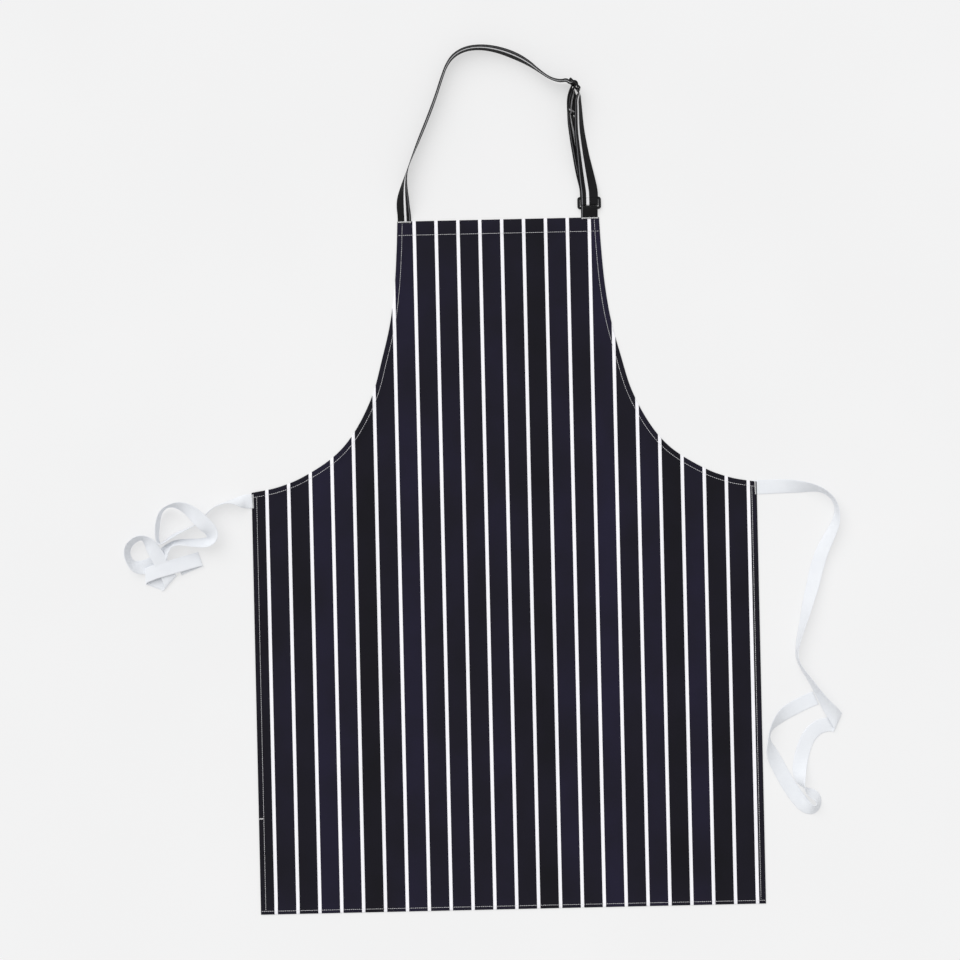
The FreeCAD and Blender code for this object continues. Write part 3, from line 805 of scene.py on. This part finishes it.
def line_distance(px, py, line):
    best = np.full(px.shape, 1e9)
    for (ax, ay), (bx, by) in zip(line, line[1:]):
        dx, dy = bx - ax, by - ay
        f = np.clip(((px - ax) * dx + (py - ay) * dy) / (dx * dx + dy * dy), 0, 1)
        best = np.minimum(best, np.hypot(px - ax - f * dx, py - ay - f * dy))
    return best


arm_both = [armhole_inset(0, 1)[::4], armhole_inset(0, -1)[::4]]


def stripe_x(k):
    return STRIPE_FIRST + STRIPE_STEP * k


def in_stripe(x):
    k = round((x - STRIPE_FIRST) / STRIPE_STEP)
    return 0 <= k < STRIPE_COUNT and abs(x - stripe_x(k)) < STRIPE_WIDTH / 2


def top_of(x):
    """Height of the cloth's upper edge above x."""
    x = abs(x)
    if x <= TOP_HALF:
        return TOP_Y
    for p, q in zip(ARM, ARM[1:]):
        if p.x <= x <= q.x:
            return p.y + (q.y - p.y) * (x - p.x) / max(q.x - p.x, 1e-9)
    return WAIST_Y


HEM_SLOPE = 3.0             # over which the cloth comes down past a hem's inner edge
PUCKER = 0.12               # waves along a row of stitching
DIP = 0.28                  # depth that the thread pulls the cloth in
EDGE_ROLL = 0.45            # rounding of the outer edge, over EDGE_ROLL_WIDTH
EDGE_ROLL_WIDTH = 1.2
FAR = 1e9


def over_hem(d, width):
    """1 over a hem, falling to 0 past its inner edge."""
    f = np.clip((width + HEM_SLOPE - d) / HEM_SLOPE, 0, 1)
    return f * f * (3 - 2 * f)


def hill(d, width):
    return np.exp(-(d / width) ** 2)


def cloth_height(x, y):
    """Height of the cloth's face in millimetres."""
    arm = np.minimum(line_distance(x, y, arm_both[0]), line_distance(x, y, arm_both[1]))
    edge = np.minimum(np.where(y < WAIST_Y, HALF_WIDTH - np.abs(x), FAR), arm)
    bottom = y - BOTTOM_Y
    top = TOP_Y - y
    body = 1.0 + 0.25 * np.sin(x * 0.021 + 1.3) * np.sin(y * 0.013 + 0.4)
    body += 0.2 * np.sin(x * 0.047 + y * 0.031) + 0.12 * np.sin(x * 0.11 - y * 0.017)
    raised = np.maximum(np.maximum(over_hem(edge, SIDE_HEM), over_hem(bottom, BOTTOM_HEM)),
                        over_hem(top, TOP_HEM))
    z = body + (FACE - body) * raised
    pucker = np.sin(y * 0.62 + 2 * np.sin(y * 0.11)) * hill(edge - SIDE_STITCH, 3.0)
    pucker += np.sin(x * 0.60 + 2 * np.sin(x * 0.13)) * hill(bottom - BOTTOM_STITCH, 2.5)
    pucker += np.sin(x * 0.55 + 2 * np.sin(x * 0.09)) * hill(top - TOP_STITCH, 4.0)
    dip = sum(hill(d, 0.9) for d in (edge - SIDE_STITCH, bottom - BOTTOM_STITCH, top - TOP_STITCH))
    near = np.minimum(np.minimum(edge, bottom), top)
    roll = EDGE_ROLL * np.clip(1 - near / EDGE_ROLL_WIDTH, 0, 1) ** 2
    return z + PUCKER * pucker - DIP * dip - roll


GRID = 6.2                  # spacing of the cloth's points
ROW_STEP = 3.5              # and along its edges and rows of stitching
CELL = 1.2                  # two points of those rows are never in one cell


def edge_rows(stitch, hem):
    """Distances from an edge at which the cloth needs a row of points."""
    return (1.2, stitch - 0.9, stitch, stitch + 0.9, hem + 1.5)


def panel_points():
    """Points of the cloth seen from above, and the lines between them that must be edges."""
    pts = [Vector(p) for p in outline]
    edges = [(i, (i + 1) % len(pts)) for i in range(len(pts))]
    for k in range(STRIPE_COUNT):
        for dx in (-STRIPE_WIDTH / 2, STRIPE_WIDTH / 2):
            x = stripe_x(k) + dx
            top = top_of(x)
            n = int((top - BOTTOM_Y) / 6)
            first = len(pts)
            for j in range(n + 1):
                pts.append(Vector((x, BOTTOM_Y + 0.02 + (top - BOTTOM_Y - 0.04) * j / n)))
            edges += [(first + j, first + j + 1) for j in range(n)]
    lines = []
    for side in (1, -1):
        for d in edge_rows(SIDE_STITCH, SIDE_HEM):
            lines.append(thin_out(armhole_inset(d, side), ROW_STEP))
            lines.append([(side * (HALF_WIDTH - d), WAIST_Y - 10 - j * ROW_STEP) for j in range(165)])
    for d in edge_rows(BOTTOM_STITCH, BOTTOM_HEM):
        lines.append([(-HALF_WIDTH + 3 + j * ROW_STEP, BOTTOM_Y + d) for j in range(202)])
    for d in edge_rows(TOP_STITCH, TOP_HEM):
        lines.append([(-140 + j * ROW_STEP, TOP_Y - d) for j in range(81)])
    taken = set((round(p.x / CELL), round(p.y / CELL)) for p in pts)
    for line in lines:
        for x, y in line:
            if abs(x) < HALF_WIDTH - 0.6 and BOTTOM_Y + 0.6 < y < top_of(x) - 0.6:
                key = (round(x / CELL), round(y / CELL))
                if key not in taken:
                    taken.add(key)
                    pts.append(Vector((x, y)))
    for i in range(int(WIDTH / GRID)):
        for j in range(int(HEIGHT / GRID)):
            x = -HALF_WIDTH + 3 + i * GRID + (j % 2) * GRID / 2
            y = BOTTOM_Y + 4 + j * GRID
            if abs(x) > HALF_WIDTH - 12 or y < BOTTOM_Y + 10 or y > top_of(x) - 12:
                continue
            near = min(abs(x - stripe_x(k)) for k in range(STRIPE_COUNT))
            if near > STRIPE_WIDTH / 2 + 1.6:
                pts.append(Vector((x, y)))
    return pts, edges


def panel():
    pts, edges = panel_points()
    out = geometry.delaunay_2d_cdt(pts, edges, [list(range(len(outline)))], 1, 1e-5)
    flat = out[0]
    x = np.array([v.x for v in flat])
    y = np.array([v.y for v in flat])
    z = cloth_height(x, y)
    n = len(flat)
    verts = [(x[i] * MM, y[i] * MM, z[i] * MM) for i in range(n)]
    verts += [(x[i] * MM, y[i] * MM, max(z[i] - CLOTH, 0.03) * MM) for i in range(n)]
    faces = []
    index = []
    edge_index = {}
    for f in out[2]:
        ring = [(flat[a], flat[b]) for a, b in zip(f, list(f[1:]) + [f[0]])]
        clockwise = sum((b.x - a.x) * (b.y + a.y) for a, b in ring) >= 0
        f = list(f)[::-1] if clockwise else list(f)
        stripe = int(in_stripe(sum(flat[i].x for i in f) / len(f)))
        faces += [f, [i + n for i in reversed(f)]]
        index += [stripe, stripe]
        for i in range(len(f)):
            edge_index[(f[i], f[(i + 1) % len(f)])] = stripe
    for (a, c), stripe in edge_index.items():
        if (c, a) not in edge_index:
            faces.append([c, a, a + n, c + n])
            index.append(stripe)
    return mesh_object("body_panel_cloth", verts, faces, [M_CLOTH, M_STRIPE], index)


cloth = panel()
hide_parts("body_panel")
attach(cloth, "apron")


# ================================================================ hems: the cloth turned under
# share of the way across, share of the hem's thickness
HEM_PROFILE = [(0.0, 0.95), (0.0, 0.55), (0.04, 0.12), (0.25, 0.03), (0.75, 0.03), (1.0, 0.08),
               (1.0, 0.85), (0.75, 0.98), (0.25, 1.0)]
STRAP_X = -129.5


def hem_band(name, outer, inner, node):
    """Turned cloth between two lines: rounded at the fold, soft at the inner edge, striped like the face."""
    rows = []
    for (ox, oy), (ix, iy) in zip(outer, inner):
        d = Vector((ix - ox, iy - oy))
        rows.append([((ox + d.x * f) * MM, (oy + d.y * f) * MM, h * (HEM - 0.02) * MM)
                     for f, h in HEM_PROFILE])
    m = len(HEM_PROFILE)
    verts = [v for row in rows for v in row]
    faces = []
    index = []
    for i in range(len(rows) - 1):
        for j in range(m):
            k = (j + 1) % m
            faces.append((i * m + j, (i + 1) * m + j, (i + 1) * m + k, i * m + k))
            index.append(int(in_stripe((rows[i][j][0] + rows[i + 1][k][0]) / 2 / MM)))
    faces.append(tuple(range(m)))
    faces.append(tuple(reversed(range((len(rows) - 1) * m, len(rows) * m))))
    index += [0, 0]
    obj = mesh_object(name, verts, faces, [M_CLOTH, M_STRIPE], index)
    face_outward(obj)
    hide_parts(node)
    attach(obj, "apron")
    return obj


def line_x(x0, x1, y, step=1.0):
    """Points along a level line."""
    n = max(2, int(abs(x1 - x0) / step))
    return [(x0 + (x1 - x0) * i / n, y) for i in range(n + 1)]


hems = [
    hem_band("bottom_hem_cloth", line_x(-HALF_WIDTH, HALF_WIDTH, BOTTOM_Y + 0.1),
             line_x(-HALF_WIDTH, HALF_WIDTH, BOTTOM_Y + BOTTOM_HEM), "bottom_hem"),
    hem_band("top_hem_cloth", line_x(STRAP_X + WEBBING / 2, RING_X - TAB_WIDTH / 2, TOP_Y - 0.1),
             line_x(STRAP_X + WEBBING / 2, RING_X - TAB_WIDTH / 2, TOP_Y - TOP_HEM), "top_hem"),
]
side_start = BOTTOM_Y + BOTTOM_HEM
side_run = WAIST_Y - SIDE_HEM - 22 - side_start
for side, name in ((-1, "left"), (1, "right")):
    ys = [side_start + side_run * i / 200 for i in range(201)]
    hems.append(hem_band(name + "_side_hem_cloth", [(side * (HALF_WIDTH - 0.1), y) for y in ys],
                         [(side * (HALF_WIDTH - SIDE_HEM), y) for y in ys], name + "_side_hem"))
    lines = [(q, r) for q, r in zip(armhole_inset(0.1, side), armhole_inset(SIDE_HEM, side))
             if q[1] < TOP_Y - TOP_HEM and abs(q[0]) < 345]
    hems.append(hem_band(name + "_armhole_hem_cloth", [q for q, r in lines], [r for q, r in lines],
                         name + "_armhole_hem"))


# ================================================================ stitching
STITCH_PITCH = 2.9
STITCH_LENGTH = 2.5
STITCH_RADIUS = 0.33
STITCH_LIFT = 0.05
# share of a stitch's length from its middle, share of its radius
STITCH_SHAPE = ((-0.5, 0.35), (-0.34, 0.85), (0.0, 1.0), (0.34, 0.85), (0.5, 0.35))
SIDES = 6                   # of a thread's section
SECTION = [(math.cos(math.pi * 2 * a / SIDES), math.sin(math.pi * 2 * a / SIDES)) for a in range(SIDES)]


def tube_faces(base, rings):
    """Faces of a closed tube whose first vertex is base."""
    faces = []
    for first in range(base, base + (rings - 1) * SIDES, SIDES):
        for a in range(SIDES):
            e = (a + 1) % SIDES
            faces.append((first + a, first + e, first + SIDES + e, first + SIDES + a))
    last = base + (rings - 1) * SIDES
    faces.append(tuple(reversed(range(base, base + SIDES))))
    faces.append(tuple(range(last, last + SIDES)))
    return faces


def stitches(name, line, node):
    """Separate machine stitches along a line given in millimetres."""
    s = [0.0]
    for p, q in zip(line, line[1:]):
        s.append(s[-1] + math.dist(p, q))
    mids = []
    n = int(s[-1] / STITCH_PITCH)
    j = 0
    for k in range(n):
        d = (k + 0.5) * s[-1] / n
        while j < len(s) - 2 and s[j + 1] < d:
            j += 1
        p = Vector(line[j])
        run = Vector(line[j + 1]) - p
        mids.append((p + run * ((d - s[j]) / (s[j + 1] - s[j])), run.normalized()))
    heights = cloth_height(np.array([c.x for c, t in mids]), np.array([c.y for c, t in mids]))
    verts = []
    faces = []
    for (c, t), z in zip(mids, heights):
        side = Vector((-t.y, t.x))
        faces += tube_faces(len(verts), len(STITCH_SHAPE))
        for along, share in STITCH_SHAPE:
            radius = STITCH_RADIUS * share
            sag = 0.10 if abs(along) == 0.5 else 0.0
            for u, v in SECTION:
                q = c + t * (along * STITCH_LENGTH) + side * (radius * u)
                verts.append((q.x * MM, q.y * MM, (z + STITCH_LIFT - sag + radius * v * 0.9) * MM))
    obj = mesh_object(name, verts, faces, [M_THREAD])
    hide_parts(node)
    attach(obj, "apron")
    return obj


bottom_row = BOTTOM_Y + BOTTOM_STITCH
rows = [
    stitches("top_hem_thread", line_x(-141, 141, TOP_Y - TOP_STITCH, 5), "top_hem_stitching"),
    stitches("bottom_hem_thread", line_x(-HALF_WIDTH + 1, HALF_WIDTH - 1, bottom_row, 5),
             "bottom_hem_stitching"),
]
for side, name in ((-1, "left"), (1, "right")):
    x = side * (HALF_WIDTH - SIDE_STITCH)
    rows.append(stitches(name + "_side_thread", [(x, BOTTOM_Y + 6), (x, WAIST_Y - 6)],
                         name + "_side_stitching"))
    rows.append(stitches(name + "_armhole_thread", armhole_inset(SIDE_STITCH, side),
                         name + "_armhole_stitching"))

TACK_WIDTH = 1.9
TACK_PITCH = 0.42           # between two turns of the zigzag
TACK_LIFT = 0.4


def tack(name, x0, y0, x1, y1, node):
    """Dense zigzag bar tack: one thread sewn to and fro."""
    first = Vector((x0, y0))
    run = Vector((x1, y1)) - first
    ahead = run.normalized()
    across = Vector((-ahead.y, ahead.x)) * (TACK_WIDTH / 2)
    count = int(run.length / TACK_PITCH)
    verts = []
    for k in range(count + 1):
        p = first + run * (k / count) + across * (1 if k % 2 else -1)
        for u, v in SECTION:
            q = p + ahead * (0.36 * u)
            verts.append((q.x * MM, q.y * MM, (FACE + TACK_LIFT + 0.28 * v) * MM))
    # the tack is drawn in the lighter copy of the thread, painted light against the shade on its thin turns
    obj = mesh_object(name, verts, tube_faces(0, count + 1), [M_TACK_LIT])
    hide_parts(node)
    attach(obj, "apron")
    return obj


tacks = [
    tack("strap_tack_thread", -141, TOP_Y - 1.0, -123, TOP_Y - 1.0, "strap_bar_tack"),
    tack("tab_tack_thread", 117.6, TOP_Y - 1.0, 140.6, TOP_Y - 1.0, "tab_bar_tack"),
    tack("left_tie_thread", -353.6, -11.5, -353.6, 7.5, "left_tie_stitching"),
    tack("right_tie_thread", 353.6, -7.5, 353.0, 10.0, "right_tie_stitching"),
    tack("care_label_thread", -354.6, -449.0, -349.4, -449.0, "care_label_stitch"),
]

# ================================================================ tab, ring, slider, label
# side view of the tab, (y, z): flat inside the hem, round the ring's lower bar and back onto itself
TAB_RADIUS = RING_BAR + 0.05 + TAB / 2
tab_line = [(368.4, 0.62), (376, 0.62), (388, 0.62), (392, 0.62), (396, 0.58)]
for k in range(13):
    a = math.radians(-90 + 195 * k / 12)
    tab_line.append((RING_LOW_Y + TAB_RADIUS * math.cos(a), RING_Z + TAB_RADIUS * math.sin(a)))
tab_line += [(396.0, 4.6), (392.5, 3.1), (389.0, 1.75), (386.5, 1.45)]
tab_rings = rings_along(nurbs([Vector((RING_X, y, z)) * MM for y, z in tab_line], 6), (-1, 0, 0))
tab_piece = ribbon("ring_tab_web", tab_rings, TAB_WIDTH, 1.0, mirrored(TAB_BANDS), WEB_MATS)
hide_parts("ring_tab")
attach(tab_piece, "apron")

for node in ("strap_ring", "slider_buckle"):
    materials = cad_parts[node].data.materials
    materials.clear()
    materials.append(M_PLASTIC)

LABEL_X = -HALF_WIDTH + SIDE_HEM - 4
LABEL_Y = -461
LABEL_LENGTH = 38
LABEL_HEIGHT = 24
LABEL_THICK = 0.0003        # metres
nx, ny = 14, 10
label_verts = []
label_faces = []
for j in range(ny + 1):
    for i in range(nx + 1):
        x = LABEL_X + LABEL_LENGTH * i / nx
        y = LABEL_Y + LABEL_HEIGHT * j / ny
        z = 0.62 + 0.06 * math.sin(i * 0.9) * math.sin(j * 0.7)
        label_verts.append((x * MM, y * MM, z * MM))
top_count = len(label_verts)
label_verts += [(x, y, z - LABEL_THICK) for x, y, z in label_verts]
for j in range(ny):
    for i in range(nx):
        a = j * (nx + 1) + i
        q = (a, a + 1, a + nx + 2, a + nx + 1)
        label_faces.append(q)
        label_faces.append(tuple(k + top_count for k in reversed(q)))
label = mesh_object("care_label_cloth", label_verts, label_faces, [M_LABEL])
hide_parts("care_label")
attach(label, "apron")

# bar tack across the sewn end, a little before the end of the fold's upper layer
END_TACK_BACK = 3.2 * MM
END_TACK_STEP = 0.6 * MM
END_TACK_RISE = 0.72 * MM
fold_end, fold_t, fold_w = fold[-1][:3]
tack_rings = []
for k in range(4):
    p = fold_end - fold_t * (END_TACK_BACK + END_TACK_STEP * k) + tail_n * END_TACK_RISE
    tack_rings.append([p, -fold_t, fold_w, END_TACK_STEP * k])
end_tack = ribbon("end_fold_thread", tack_rings, WEBBING - 4, 0.4, PLAIN_BANDS, [M_THREAD])
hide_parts("end_fold_stitching")
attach(end_tack, "slider")

# ================================================================ floor and light
FLOOR_HALF = 40
FLOOR_Z = -0.0002
FLOOR_GLOW = 0.515
WORLD_LIGHT = 0.67
SUN_LIGHT = 1.53
SUN_ANGLE = 55
SUN_TURN = (-32, -24, 0)
floor_n = Nodes("floor")
floor_colour = floor_n.ramp(floor_n.noise(floor_n.vector(), 3.0, 2.0),
                            [(0.2, (0.35, 0.35, 0.352)), (0.8, (0.37, 0.37, 0.372))])
floor_n.link(floor_colour, floor_n.shader.inputs["Base Color"])
floor_n.set(Roughness=0.9, Specular_IOR_Level=0.0, Emission_Color=(1, 1, 1, 1), Emission_Strength=FLOOR_GLOW)
corners = [(x * FLOOR_HALF, y * FLOOR_HALF, FLOOR_Z) for x, y in ((-1, -1), (1, -1), (1, 1), (-1, 1))]
floor = mesh_object("floor", corners, [(0, 1, 2, 3)], [floor_n.mat], smooth=False)

world = bpy.data.worlds.new("world")
scene.world = world
world.use_nodes = True
background = world.node_tree.nodes["Background"]
background.inputs["Color"].default_value = (1, 1, 1, 1)
background.inputs["Strength"].default_value = WORLD_LIGHT
sun = bpy.data.lights.new("sun", "SUN")
sun.energy = SUN_LIGHT
sun.angle = math.radians(SUN_ANGLE)
sun_object = bpy.data.objects.new("sun", sun)
sun_object.rotation_euler = [math.radians(v) for v in SUN_TURN]
scene.collection.objects.link(sun_object)
scene.view_settings.view_transform = "Standard"
